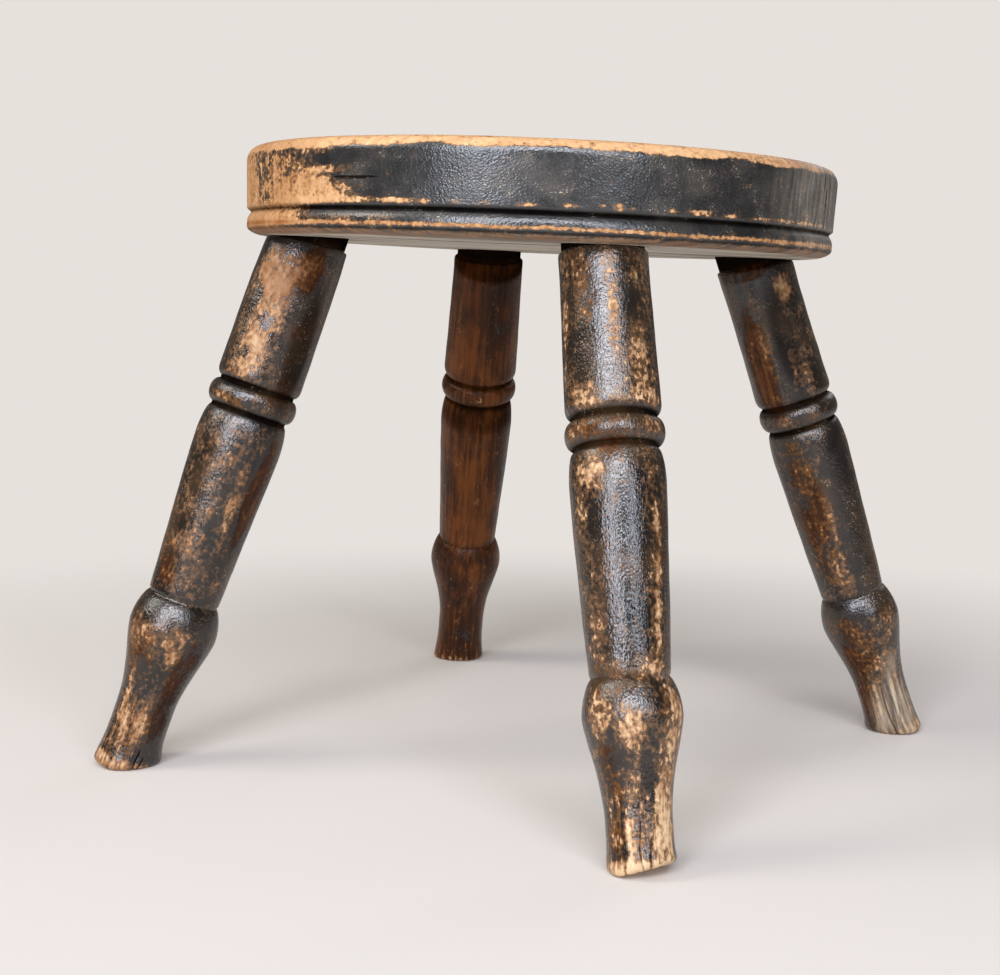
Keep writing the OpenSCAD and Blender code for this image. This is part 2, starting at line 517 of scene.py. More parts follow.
class WearMap:
    """The layers of wear and painted shade of one piece, with one number in each for each vertex."""

    def __init__(self, count: int) -> None:
        """Start without wear, for so many vertices."""
        self.layers = {layer: np.zeros(count) for layer in Wear}

    def add(self, share: np.ndarray | float, **amounts: float) -> None:
        """Add the share of each amount that a vertex takes to the layer of that name."""
        for name, amount in amounts.items():
            self.layers[Wear(name)] += amount * share

    def keep(self, piece: bpy.types.Object, grain: np.ndarray, material: bpy.types.Material) -> None:
        """Keep the wear with a piece, and give the piece its finish.

        Args:
            piece: The piece.
            grain: Each vertex in the frame of the wood's grain, in mm.
            material: The finish.
        """
        mesh = piece.data
        for layer, values in self.layers.items():
            note(mesh, layer.value, np.clip(values, -1, MOST_WEAR))
        note(mesh, GRAIN, grain)
        mesh.materials.clear()
        mesh.materials.append(material)
        mesh.polygons.foreach_set("use_smooth", [True] * len(mesh.polygons))
        mesh.set_sharp_from_angle(angle=math.radians(SHARP_EDGE))
        mesh.update()


class NodeTree:
    """The nodes of one material or of the world."""

    def __init__(self, owner: bpy.types.ID) -> None:
        """Start with an empty tree.

        Args:
            owner: The material or the world.
        """
        owner.use_nodes = True
        self.tree = owner.node_tree
        self.tree.nodes.clear()

    def add(
        self, kind: str, inputs: dict | list, out: str | int = 0, stops: dict | None = None, **settings
    ) -> bpy.types.NodeSocket | None:
        """Add one node with its settings and links.

        Args:
            kind: The node's type, without ShaderNode.
            inputs: A value, a hex colour or a node's output for its inputs, by name or in order.
            out: Which output is wanted.
            stops: For a ramp, a hex colour for each place from 0 to 1, in order.
            **settings: Properties of the node.

        Returns:
            The wanted output, or None where the node has none.
        """
        made = self.tree.nodes.new("ShaderNode" + kind)
        for key, value in settings.items():
            setattr(made, key, value)
        if stops:
            elements = made.color_ramp.elements
            for place in list(stops)[len(elements) :]:
                elements.new(place)
            for element, (place, colour) in zip(elements, stops.items()):
                element.position = place
                element.color = linear(colour)
        for key, value in inputs.items() if isinstance(inputs, dict) else enumerate(inputs):
            if isinstance(value, bpy.types.NodeSocket):
                self.tree.links.new(value, made.inputs[key])
            else:
                made.inputs[key].default_value = linear(value) if isinstance(value, str) else value
        return made.outputs[out] if len(made.outputs) else None

    def weigh(self, shares: dict) -> bpy.types.NodeSocket:
        """Add up several noises around 0.

        Args:
            shares: The weight of each noise.

        Returns:
            Their weighted sum.
        """
        total = -sum(shares.values()) / 2
        for share, weight in shares.items():
            total = self.add("Math", [share, weight, total], operation="MULTIPLY_ADD")
        return total


# The stool is turned beech, brushed with a black spirit stain and waxed. Years of dusting have
# polished the wax, and it has crazed, so its gloss breaks up into small glints. Where hands,
# shoes and the hearth have rubbed it, the brown stain shows first and then the dry, dull wood.
# A pixel of the photograph is about 0.43 mm wide. Crazing of 0.3 mm and fibres of 0.1 mm would
# not show, so both are drawn coarser than they are.
@dataclass(frozen=True)
class WornEbony:
    """Black spirit stain and wax over beech, rubbed and flaked back to the wood."""

    name: str
    # How the film's and the wood's patterns are drawn out across and along the grain.
    film_scale: tuple = (1.0, 1.0, 0.85)
    wood_scale: tuple = (1.0, 1.0, 0.07)
    # Widths and depths of the patterns in mm.
    flake: float = 5.5
    fleck: float = 1.6
    cloud: float = 17.0
    streak: float = 2.0
    fibre: float = 1 / 2.4
    handling: float = 2.8
    mote: float = 1 / 1.5
    craze: float = 0.9
    craze_depth: float = 0.04
    craze_rise: tuple = (2.0, 2.4)  # of its lumps and its cells, in depths
    film_depth: float = 0.05
    fibre_depth: float = 0.1
    # How far the flakes and flecks, the fibres and the streaks break up the edge of the wear.
    mottle: tuple = (1.8, 2.1)
    fibre_share: float = 0.2
    streak_share: float = 4.0
    # How far the clouds, flakes and flecks break up the thin black.
    thin_mottle: tuple = (1.8, 1.0, 0.8)
    # Where the rub turns the black brown, bares the wood and scours it, and where black is thin.
    browned_at: tuple = (-0.1, 0.5)
    bare_at: tuple = (0.5, 0.58)
    scoured_at: tuple = (0.75, 1.25)
    thin_at: tuple = (0.3, 0.75)
    uneven: float = 0.45  # how much brown is left in the bare wood
    # The stain's tint from its two patterns, and what thin black adds to it.
    tint: tuple = (0.5, -0.17)
    thin_tint: float = 0.18
    # How far each coat or pattern covers what is below it, at most.
    rubbed_share: float = 0.55
    brown_share: float = 0.8
    pale_share: float = 0.5
    pore_share: tuple = (0.6, 0.3)  # what wear along the grain adds, and the rest
    dust_share: float = 0.6
    # Where a pattern's value starts and stops to act and, after these two, what it gives there.
    pores: tuple = (0.3, 0.48, 0.45, 1.0)
    grit: tuple = (0.62, 0.42, 0.0, 0.35)
    spots_at: tuple = (0.42, 0.6)
    held_at: tuple = (0.3, 0.62, 0.4, 1.0)
    dust_at: tuple = ((0.42, 0.58), (0.46, 0.6), (0.6, 0.7))
    caught_at: tuple = (0.38, 0.56, 0.7, 1.0)
    gloss_at: tuple = (0.35, 0.65)
    buried_at: tuple = (0.0, 0.5)
    # The value of a pattern at each of the three colours below.
    black_at: tuple = (0.35, 0.5, 0.68)
    stain_at: tuple = (0.36, 0.5, 0.64)
    wood_at: tuple = (0.34, 0.5, 0.68)
    grey_at: tuple = (0.34, 0.5, 0.66)
    black: tuple = ("#090605", "#1c130c", "#3c2b1b")
    stain: tuple = ("#20100a", "#3c200e", "#683a17")
    rubbed: str = "#855c34"
    wood: tuple = ("#7d5839", "#b58b64", "#dab690")
    scrubbed: str = "#e7cba3"
    patina: str = "#7a4a24"
    weathered: tuple = ("#5f5040", "#958470", "#bcac94")
    handled: str = "#7b5534"
    dirt: str = "#5d4430"
    dust: str = "#b9a78c"
    soot: str = "#0d0906"
    # Roughness and specular level: waxed film, stain, bare wood, grey wood, and caked dirt with painted
    # shade.
    gloss: tuple = (0.15, 0.27)
    polish: float = 0.75
    stain_gloss: float = 0.3
    stain_polish: float = 0.15
    bare_gloss: float = 0.5
    bare_polish: float = 0.2
    grey_gloss: float = 0.65
    soot_gloss: float = 0.8
    ior: float = 1.5  # of wax, shellac and wood

    def material(self) -> bpy.types.Material:
        """Build the material.

        Returns:
            The finished material.
        """
        material = bpy.data.materials.new(self.name)
        tree = NodeTree(material)
        add = tree.add
        place = add("Attribute", {}, "Vector", attribute_name=GRAIN)
        bare, thin, grime, soot, oil, streak = (
            add("Attribute", {}, "Fac", attribute_name=layer.value) for layer in Wear
        )
        film, figure = (
            add("VectorMath", [place, scale], operation="MULTIPLY")
            for scale in (self.film_scale, self.wood_scale)
        )
        # Each pattern has a place to sample, a size in mm, its finer layers and how rough they are.
        flakes, flecks, clouds, streaks, fibres, fine, spots, motes = (
            add("TexNoise", {"Vector": at, "Scale": 1 / size, "Detail": layers, "Roughness": rough}, "Fac")
            for at, size, layers, rough in (
                (film, self.flake, 6.0, 0.62),
                (film, self.fleck, 3.0, 0.52),
                (film, self.cloud, 3.0, 0.5),
                (figure, self.streak, 5.0, 0.62),
                (figure, self.fibre, 2.0, 0.6),
                (film, self.craze, 2.0, 0.5),
                (film, self.handling, 2.0, 0.5),
                (film, self.mote, 1.0, 0.5),
            )
        )
        cracks = {"Vector": film, "Scale": 1 / self.craze, "Smoothness": 0.35}
        cells = add("TexVoronoi", cracks, "Distance", feature="SMOOTH_F1")

        # How far the finish is rubbed off, and how far the black lets the stain show.
        broken = tree.weigh(dict(zip((flakes, flecks, fibres), (*self.mottle, self.fibre_share))))
        rub = add("Math", [bare, broken], operation="ADD")
        drawn = tree.weigh({streaks: self.streak_share})
        rub = add("Math", [drawn, streak, rub], operation="MULTIPLY_ADD")
        browned, gone, scoured = (
            add("MapRange", [rub, *reach], **SMOOTH)
            for reach in (self.browned_at, self.bare_at, self.scoured_at)
        )
        see = tree.weigh(dict(zip((clouds, flakes, flecks), self.thin_mottle)))
        see = add("Math", [thin, see], operation="ADD")
        see = add("MapRange", [see, *self.thin_at], **SMOOTH)

        # The film and the stain. The stain is lighter where the black is thin.
        black = add("ValToRGB", [clouds], stops=dict(zip(self.black_at, self.black)))
        tint = add("Math", [streaks, clouds], operation="ADD")
        tint = add("Math", [tint, *self.tint], operation="MULTIPLY_ADD")
        tint = add("Math", [thin, self.thin_tint, tint], operation="MULTIPLY_ADD")
        stain = add("ValToRGB", [tint], stops=dict(zip(self.stain_at, self.stain)))
        worn = add("MixRGB", [self.rubbed_share, stain, self.rubbed])

        # The bare wood: streaks, dark pores between its fibres, dirt, brown spots and patina.
        wood = add("ValToRGB", [streaks], stops=dict(zip(self.wood_at, self.wood)))
        pores = add("MapRange", [fibres, *self.pores], **SMOOTH)
        open_grain = add("Math", [streak, *self.pore_share], operation="MULTIPLY_ADD", use_clamp=True)
        wood = add("MixRGB", [open_grain, wood, pores], blend_type="MULTIPLY")
        dirt = add("MapRange", [flecks, *self.grit], **SMOOTH)
        wood = add("MixRGB", [dirt, wood, self.dirt])
        handled = add("MapRange", [spots, *self.spots_at, 0.0, self.uneven], **SMOOTH)
        wood = add("MixRGB", [handled, wood, self.handled])
        held = add("MapRange", [clouds, *self.held_at], **SMOOTH)
        oiled = add("Math", [oil, held], operation="MULTIPLY")
        pale = add("MixRGB", [self.pale_share, wood, self.scrubbed])
        wood, pale = (add("MixRGB", [oiled, under, self.patina]) for under in (wood, pale))

        # Dust lies in specks where the film is whole. Grey wood is darkest in its streaks.
        dust = add("Math", [self.dust_share, see], operation="SUBTRACT", use_clamp=True)
        for pattern, reach in zip((clouds, flakes, motes), self.dust_at):
            share = add("MapRange", [pattern, *reach], **SMOOTH)
            dust = add("Math", [dust, share], operation="MULTIPLY")
        grey = add("ValToRGB", [streaks], stops=dict(zip(self.grey_at, self.weathered)))
        caught = add("MapRange", [streaks, *self.caught_at], **SMOOTH)
        caught = add("Math", [grime, caught], operation="MULTIPLY")

        # Each coat covers the ones before it by its share.
        brown = add("Math", [browned, self.brown_share], operation="MULTIPLY")
        colour = black
        for share, coat in (
            (see, stain),
            (brown, worn),
            (gone, wood),
            (scoured, pale),
            (dust, self.dust),
            (caught, grey),
            # Last comes near-black soot, also laid as painted shade in recesses and under the seat.
            (soot, self.soot),
        ):
            colour = add("MixRGB", [share, colour, coat])
        # A Mix node's share and its two numbers are its inputs 0, 2 and 3.
        rough = add("MapRange", [flakes, *self.gloss_at, *self.gloss])
        for share, value in (
            (browned, self.stain_gloss),
            (gone, self.bare_gloss),
            (grime, self.grey_gloss),
            (soot, self.soot_gloss),
        ):
            rough = add("Mix", {0: share, 2: rough, 3: value})
        polish = self.polish
        buried = add("MapRange", [soot, *self.buried_at], **SMOOTH)
        for share, value in ((see, self.stain_polish), (gone, self.bare_polish), (buried, 0.0)):
            polish = add("Mix", {0: share, 2: polish, 3: value})

        # The film stands above the wood and is crazed. The fibres stand out in both.
        low, high = (self.craze_depth * rise for rise in self.craze_rise)
        kept = add("Math", [1.0, gone], operation="SUBTRACT")
        height = add("Math", [fine, low, self.film_depth], operation="MULTIPLY_ADD")
        height = add("Math", [cells, high, height], operation="MULTIPLY_ADD")
        height = add("Math", [height, kept], operation="MULTIPLY")
        height = add("Math", [fibres, self.fibre_depth, height], operation="MULTIPLY_ADD")
        bump = add("Bump", {"Height": height, "Distance": MM, "Strength": 1.0})
        look = {
            "Base Color": colour,
            "Roughness": rough,
            "Normal": bump,
            "IOR": self.ior,
            "Specular IOR Level": polish,
        }
        add("OutputMaterial", {"Surface": add("BsdfPrincipled", look)})
        return material


@dataclass(frozen=True)
class LegWork:
    """One leg: turned, set in its socket, sawn off, levelled on the floor and worn."""

    corner: Corner
    stance: Stance
    turning: Turning
    girth: float  # its own thickness as a share of the outline's
    patches: tuple
    bare: float
    thin: float
    oil: float
    seen: float  # the side that the photograph shows, as an angle round the leg
    seed: float
    cracks: tuple = ()
    facets: tuple = ()
    columns: int = 190
    spacing: float = 0.6
    core: float = 0.08  # radius of an end's innermost ring, as a share of the end's
    top_rings: int = 12
    foot_rings: int = 10
    rim_turns: tuple = (22.5, 45.0, 67.5, 90.0)  # where the foot's rounded rim has its rings
    tenon_rings: tuple = (0.03, 0.25, 0.5, 0.75, 0.85, 0.93, 1.0)
    girth_blend: tuple = (2.0, 20.0)
    fit_length: float = 14.0  # over which the rings tilt to meet the foot's end face
    rim: float = 1.6
    crease: float = 0.3
    kerf_tip: float = 0.55  # half its width
    kerf_mouth: float = 2.05  # half its width
    kerf_depth: float = 23.5
    kerf_past: float = 12.0  # the saw's shape runs on past the tenon's end and sides
    kerf_reach: float = 20.0
    unevenness: tuple = ((0.3, 38.0, 0, 1.0), (0.10, 7.0, 11, 1.0), (0.04, 2.0, 23, 0.2))
    even_above: tuple = (4.0, 9.0)
    # Where wear, and the neck's painted shade, start and are full: the foot's from the axis's end, the
    # neck's from the shoulder and the sawn edge's from the tenon's side, in mm, and the unseen side's in
    # degrees.
    edge_rub: tuple = (-5.0, -2.0)
    foot_streaks: tuple = (-34.0, -18.0)
    foot_rub: tuple = (-24.0, -6.0)
    neck: tuple = (-1.2, 0.8)
    sawn_edge: tuple = (-1.9, -0.3)
    unseen: tuple = (70.0, 105.0)
    # The wear of the unseen side: what proud forms add, its lumps' amount, size and stretch
    # along the grain, and what is taken off.
    proud_rub: float = 0.3
    unseen_rub: tuple = (1.3, 10.0, 0.45, 0.2)
    unseen_thin: tuple = (1.2, 19.0, 0.6, 0.1)
    in_seat: float = 20.0  # above this the tenon is inside the seat

    def tangent(self) -> float:
        """How far the seat's faces rise across the leg for each mm outward."""
        return math.tan(math.radians(self.stance.splay(self.corner)))

    def top(self) -> float:
        """Distance up the leg's axis from the underside to the seat's top."""
        return self.stance.seat_thickness / math.cos(math.radians(self.stance.splay(self.corner)))

    def floor_end(self, x: np.ndarray, y: np.ndarray) -> np.ndarray:
        """Distance down the leg at which its sawn and levelled end lies.

        Args:
            x: Place across the leg, outward.
            y: Place across the leg, to the left of outward.

        Returns:
            The distances in mm.
        """
        down = np.array(self.stance.leg_matrix(self.corner))[2]
        floor = (down[3] + down[0] * x + down[1] * y) / down[2]
        length = self.stance.leg_length(self.corner)
        end = lesser(length + self.stance.heel, floor, self.crease)
        for facet in self.facets:
            end = lesser(end, facet.plane(x, y, length), self.crease)
        return end

    def shoulder_at(self) -> float:
        """Distance down the leg of a square shoulder that just touches the seat."""
        return self.turning.shoulder / 2 * self.tangent()

    def shoulder_shift(self, x: np.ndarray, down: np.ndarray) -> np.ndarray:
        """How far the shoulder lies from a square one, because it was trimmed towards the seat.

        Args:
            x: Place across the leg, outward.
            down: Distance down the leg.

        Returns:
            The shifts down the leg in mm.
        """
        turning = self.turning
        lean = turning.shoulder_lean * self.tangent() * (x - turning.shoulder / 2)
        below = self.shoulder_at() + turning.shoulder_round
        blend = 1 - smooth(down, below, below + turning.shoulder_blend)
        return (lean - turning.shoulder_bed) * blend

    def build(self) -> bpy.types.Object:
        """Make the leg's mesh, ring by ring from the tenon's top to the foot's end.

        Returns:
            The piece, in place.
        """
        around = np.linspace(0, 2 * math.pi, self.columns, endpoint=False)
        rings: list[tuple[np.ndarray, np.ndarray]] = []

        def ring(radius: float | np.ndarray, down: np.ndarray) -> None:
            """Add one ring of points."""
            rings.append((0 * around + radius, down))

        def at_top(radius: float) -> np.ndarray:
            """Distance down the leg of the seat's top face."""
            return radius * np.cos(around) * self.tangent() - self.top()

        def at_end(radius: float | np.ndarray) -> np.ndarray:
            """Distance down the leg of the foot's end face."""
            return self.floor_end(radius * np.cos(around), radius * np.sin(around))

        tenon = self.turning.tenon / 2
        for share in np.linspace(self.core, 1, self.top_rings):
            ring(tenon * share, at_top(tenon * share))
        square = self.shoulder_at() + self.shoulder_shift(tenon * np.cos(around), np.zeros(1))
        for share in self.tenon_rings:
            ring(tenon, at_top(tenon) * (1 - share) + square * share)

        length = self.stance.turned_length()
        own = min(length, self.stance.leg_length(self.corner) + self.stance.heel)
        outline = resample(self.turning.outline(self.shoulder_at(), length), self.spacing)
        outline = outline[outline[:, 1] <= own]
        girth = 1 + (self.girth - 1) * smooth(outline[:, 1], *self.girth_blend)
        fit_from = own - self.fit_length
        end = at_end(outline[-1, 0]) - self.rim
        for radius, down in zip(outline[:, 0] * girth, outline[:, 1]):
            share = max(0.0, (down - fit_from) / (own - fit_from))
            shift = self.shoulder_shift(radius * np.cos(around), np.full(1, down))
            ring(radius, down + shift + share * (end - own))

        foot = rings[-1][0]
        for turn in np.radians(self.rim_turns):
            radius = foot - self.rim * (1 - math.cos(turn))
            ring(radius, at_end(radius) - self.rim * (1 - math.sin(turn)))
        inner = rings[-1][0]
        for share in np.linspace(0.9, self.core, self.foot_rings):
            ring(inner * share, at_end(inner * share))

        radius, down = np.array(rings).transpose(1, 0, 2)
        local = self.worn(revolve(radius, -down, around))
        centre = self.floor_end(np.zeros(1), np.zeros(1))[0]
        poles = np.array([[0, 0, self.top()], [0, 0, -centre]])
        points = carry(self.stance.leg_matrix(self.corner), np.vstack([local, poles]))
        points[:, 2] = np.maximum(points[:, 2], 0)
        piece = write_mesh(f"turned_{self.corner.node}", points, revolved_faces(len(rings), self.columns))
        self.cut_kerf(piece)
        return piece

    def worn(self, local: np.ndarray) -> np.ndarray:
        """Wear the turned surface: unevenness, checks and splits.

        Args:
            local: Points in the leg's frame.

        Returns:
            The worn points.
        """
        down = -local[:, 2]
        radius, around = polar(local)
        change = 0 * down
        for depth, size, seed, stretch in self.unevenness:
            change += depth * lumps(local * (1, 1, stretch), size, self.seed + seed)
        change *= smooth(down, *self.even_above)
        for crack in self.cracks:
            change -= crack.sink(down, around, radius)
        # Nothing moves near the axis, where a change of radius would fold the end faces.
        scale = 1 + change * smooth(radius, 2.0, 9.0) / np.maximum(radius, 1)
        return local * np.stack([scale, scale, np.ones_like(scale)], axis=1)

    def cut_kerf(self, piece: bpy.types.Object) -> None:
        """Saw the kerf that the wedge spreads.

        Args:
            piece: The leg's piece.
        """
        low, high, top = self.kerf_tip, self.kerf_mouth, self.top()
        tip, lid = top - self.kerf_depth, top + self.kerf_past
        wide = high + (high - low) / (top - tip) * self.kerf_past
        corners = [(-low, tip), (low, tip), (wide, lid), (-wide, lid)]
        local = [(side, y, z) for side in (-self.kerf_reach, self.kerf_reach) for y, z in corners]
        spin = Matrix.Rotation(math.radians(self.stance.kerf_angle(self.corner)), 4, "Z")
        points = carry(self.stance.leg_matrix(self.corner) @ spin, np.array(local))
        faces = [(0, 1, 2, 3), (7, 6, 5, 4), (0, 4, 5, 1), (1, 5, 6, 2), (2, 6, 7, 3), (3, 7, 4, 0)]
        carve(piece, points, faces)

    def dress(self, piece: bpy.types.Object, material: bpy.types.Material) -> None:
        """Lay the layers of wear and painted shade on the leg.

        Args:
            piece: The leg's piece.
            material: Its finish.
        """
        local = carry(self.stance.leg_matrix(self.corner).inverted(), mesh_points(piece.data))
        down = -local[:, 2]
        radius, around = polar(local)
        own = self.stance.leg_length(self.corner)
        wear = WearMap(len(down))
        wear.add(1, bare=self.bare, thin=self.thin, oil=self.oil)
        for patch in self.patches:
            wear.layers[patch.layer] += patch.weight(down, around)
        wear.add(smooth(down - own, *self.edge_rub), bare=0.9)
        wear.add(smooth(down - own, *self.foot_streaks), streak=0.75)

        # The sides that the photograph doesn't show are worn in the way of those that it shows.
        far = smooth(np.abs(turned(around, self.seen)), *self.unseen)
        proud = near(down, self.turning.ring_at, 3.0)
        proud += near(down, own - self.turning.bulb_up, 7.0)
        proud += 1.3 * smooth(down - own, *self.foot_rub)
        amount, size, stretch, less = self.unseen_rub
        rubbed = amount * lumps(local * (1, 1, stretch), size, self.seed + 31)
        rubbed = self.proud_rub * proud + rubbed - less
        amount, size, stretch, less = self.unseen_thin
        thinned = amount * lumps(local * (1, 1, stretch), size, self.seed + 41) - less
        wear.add(far * rubbed, bare=1)
        wear.add(far * thinned, thin=1)

        # The finish holds at the neck, the cuts and the cracks. Where the neck is below the seat it is
        # darkened as painted shade of the seat, the cuts are darkened as painted shade, and the cracks
        # with dirt and painted shade.
        square = down - self.shoulder_shift(local[:, 0], np.zeros(1)) - self.shoulder_at()
        neck = 1 - smooth(square, *self.neck)
        wear.add(neck, bare=-0.7)
        wear.add(neck * (down > -self.in_seat), soot=0.95)
        for cut in self.turning.cuts():
            wear.add(near(down, cut, 1.3), bare=-0.8, soot=0.6)
        for crack in self.cracks:
            wear.add(crack.sink(down, around, radius) / crack.depth, soot=0.7)

        # The tenon's sawn end was never blackened, and its edge has filled with dirt.
        sawn = down < -self.in_seat
        wear.layers[Wear.BARE][sawn] = 1.3
        edge = smooth(radius - self.turning.tenon / 2, *self.sawn_edge)
        wear.add(sawn, oil=0.75)
        wear.add(sawn * edge, soot=0.5)
        wear.keep(piece, local + 400 * self.seed, material)
        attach(piece, "root")
        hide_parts(self.corner.node)


@dataclass(frozen=True)
class SeatBoard:
    """The round seat: turned from one board, bored for four tenons and worn."""

    stance: Stance
    turning: Turning
    patches: tuple
    top_round: float = 5.5
    band_draft: float = 0.6
    groove_z: float = 9.0
    groove_width: float = 2.6
    groove_depth: float = 1.7
    bead_round: float = 1.2
    bead_rise: float = 3.0
    bead_z: float = 3.4
    under_round: float = 8.0
    glue: float = 0.05
    # The unevenness of the edge and the top: depths and widths of the lumps, and what is worn off.
    edge_lumps: tuple = (0.25, 45.0)
    edge_dents: tuple = (0.10, 8.0)
    edge_loss: float = 0.15
    top_lumps: tuple = (0.08, 30.0)
    top_loss: float = 0.15
    under_rings: int = 16
    top_rings: int = 24
    inmost: float = 2.0  # radius of the innermost ring
    ring_gap: float = 1.5  # from the flat faces' outermost ring to the edge's first
    bit_sides: int = 120
    bit_ends: tuple = (-20.0, 60.0)  # along the leg's axis, up from the underside
    columns: int = 640
    spacing: float = 0.6
    seed: float = 3.7
    # Where wear starts and is full, from the rim.
    edge_worn: tuple = (-12.0, -2.0)
    edge: tuple = (-9.0, -6.0)
    under: tuple = (-8.0, -5.0)
    sat_on: tuple = (-40.0, -9.0)
    # The same from the top, and then above the underside.
    arris: tuple = (-4.4, -2.9)
    over: tuple = (-1.6, -0.3)
    turned_under: tuple = (1.4, 2.6)
    bead_rub: float = 4.0
    bead_foot: float = 2.3

    def outline(self) -> np.ndarray:
        """Points from the underside's middle round the edge to the top's middle.

        Returns:
            The points as (radius, height).
        """
        radius, thick = self.stance.seat_radius, self.stance.seat_thickness
        band, bend = radius - self.band_draft, self.top_round
        edge = arc(band - self.under_round, self.bead_z, self.under_round, self.bead_z, -90, 0)
        bead_top = self.groove_z - self.groove_width / 2 - self.bead_rise
        edge += arc(band - self.bead_round, bead_top, self.bead_round, self.bead_rise, 0, 65, 8)
        edge += [(band - self.groove_depth, self.groove_z)]
        edge += [(band, self.groove_z + self.groove_width / 2)]
        edge += arc(radius - bend, thick - bend, bend, bend, 0, 90)
        edge = resample(edge, self.spacing)
        below, above = band - self.under_round - self.ring_gap, radius - bend - self.ring_gap
        under = [(r, 0.0) for r in np.linspace(self.inmost, below, self.under_rings)]
        over = [(r, thick) for r in np.linspace(above, self.inmost, self.top_rings)]
        return np.vstack([under, edge, over])

    def build(self) -> bpy.types.Object:
        """Make the seat's mesh.

        Returns:
            The piece, in place.
        """
        around = np.linspace(0, 2 * math.pi, self.columns, endpoint=False)
        outline = self.outline()
        local = self.worn(revolve(outline[:, :1], outline[:, 1:], around))
        poles = np.array([[0, 0, 0.0], [0, 0, self.stance.seat_thickness - self.top_loss]])
        points = carry(self.stance.seat_matrix(), np.vstack([local, poles]))
        piece = write_mesh("seat_board", points, revolved_faces(len(outline), self.columns))
        for corner in Corner:
            self.bore(piece, corner)
        return piece

    def worn(self, local: np.ndarray) -> np.ndarray:
        """Wear the turned board: an uneven edge and shallow hollows in the top.

        Args:
            local: Points in the seat's frame.

        Returns:
            The worn points.
        """
        radius, _ = polar(local)
        edge = smooth(radius - self.stance.seat_radius, *self.edge_worn)
        (tall, wide), (low, narrow) = self.edge_lumps, self.edge_dents
        change = tall * lumps(local, wide, self.seed) - self.edge_loss
        change += low * lumps(local, narrow, self.seed + 5)
        scale = 1 + change * edge / np.maximum(radius, 1)
        depth, wide = self.top_lumps
        hollow = self.top_loss + depth * lumps(local, wide, self.seed + 9)
        sink = hollow * smooth(local[:, 2] - self.stance.seat_thickness, -1, 0)
        return np.stack([local[:, 0] * scale, local[:, 1] * scale, local[:, 2] - sink], axis=1)

    def bore(self, piece: bpy.types.Object, corner: Corner) -> None:
        """Bore one socket.

        Args:
            piece: The seat's piece.
            corner: Which leg the socket is for.
        """
        around = np.linspace(0, 2 * math.pi, self.bit_sides, endpoint=False)
        ends = np.array(self.bit_ends)[:, None]
        local = revolve(0 * ends + self.turning.tenon / 2 + self.glue, ends, around)
        poles = [(0, 0, z) for z in self.bit_ends]
        points = carry(self.stance.leg_matrix(corner), np.vstack([local, poles]))
        carve(piece, points, revolved_faces(len(ends), self.bit_sides))

    def dress(self, piece: bpy.types.Object, material: bpy.types.Material) -> None:
        """Lay the layers of wear and painted shade on the seat.

        Args:
            piece: The seat's piece.
            material: Its finish.
        """
        local = carry(self.stance.seat_matrix().inverted(), mesh_points(piece.data))
        height = local[:, 2]
        above = height - self.stance.seat_thickness
        radius, around = polar(local)
        out = radius - self.stance.seat_radius
        grain = math.radians(self.stance.seat_grain)
        along = local[:, 0] * math.cos(grain) + local[:, 1] * math.sin(grain)
        across = -local[:, 0] * math.sin(grain) + local[:, 1] * math.cos(grain)
        wear = WearMap(len(height))

        # The edge kept its black, but for the top arris and a line along the bead.
        edge = smooth(out, *self.edge)
        wear.add(edge, bare=-0.4, thin=-0.1)
        wander = 1.0 * lumps(local, 17, self.seed + 3) + 0.5 * lumps(local, 5, self.seed + 4)
        wear.add(smooth(above + wander, *self.arris), bare=1.7)
        wear.add(near(height + 0.4 * wander, self.bead_rub, 0.8) * edge, bare=1.35, oil=0.65)
        # Painted shade darkens the groove and the line at the bead's foot, where the edge turns under.
        wear.add(near(height, self.groove_z, 0.9) * edge, bare=-0.5, soot=0.7)
        wear.add(near(height, self.bead_foot, 0.6) * edge, soot=0.4)
        turned_under = (1 - smooth(height, *self.turned_under)) * edge
        wear.add(turned_under, bare=1.05, oil=1.0, grime=0.25, soot=0.25, streak=0.6)

        # The underside was never finished. It is grey, with darker bands along the grain.
        under = (1 - smooth(out, *self.under)) * (height < 1)
        bands = lumps(np.stack([across / 14, 0 * across, along / 110], axis=1), 1, self.seed + 12)
        wear.add(under, grime=1, bare=0.7)
        wear.add(under * smooth(bands, 0.0, 0.5), soot=0.5)

        # The top is rubbed pale at the rim and browned by hands and polish in the middle.
        over = smooth(above, *self.over)
        middle = 1 - smooth(out, *self.sat_on)
        wear.add(over * (0.2 + 0.35 * middle + 0.5 * lumps(local, 26, self.seed + 6)), oil=1)
        wear.add(over, streak=0.5)
        held = smooth(lumps(local, 15, self.seed + 8), 0.2, 0.42) * (0.3 + 0.7 * middle)
        wear.add(over * held, bare=-0.9)
        for corner in Corner:
            reach, _ = polar(carry(self.stance.leg_in_seat(corner).inverted(), local))
            wear.add(over * near(reach, self.turning.tenon / 2, 0.9), soot=0.5)
            wear.add(over * near(reach, self.turning.tenon / 2, 5.0), oil=0.5)

        for patch in self.patches:
            wear.layers[patch.layer] += patch.weight(height, around) * edge
        for layer in (Wear.THIN, Wear.GRIME, Wear.SOOT, Wear.OIL, Wear.STREAK):
            wear.layers[layer] = np.minimum(wear.layers[layer], 1)
        wear.keep(piece, np.stack([across, height, along], axis=1), material)
        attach(piece, "root")
        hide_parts("seat")


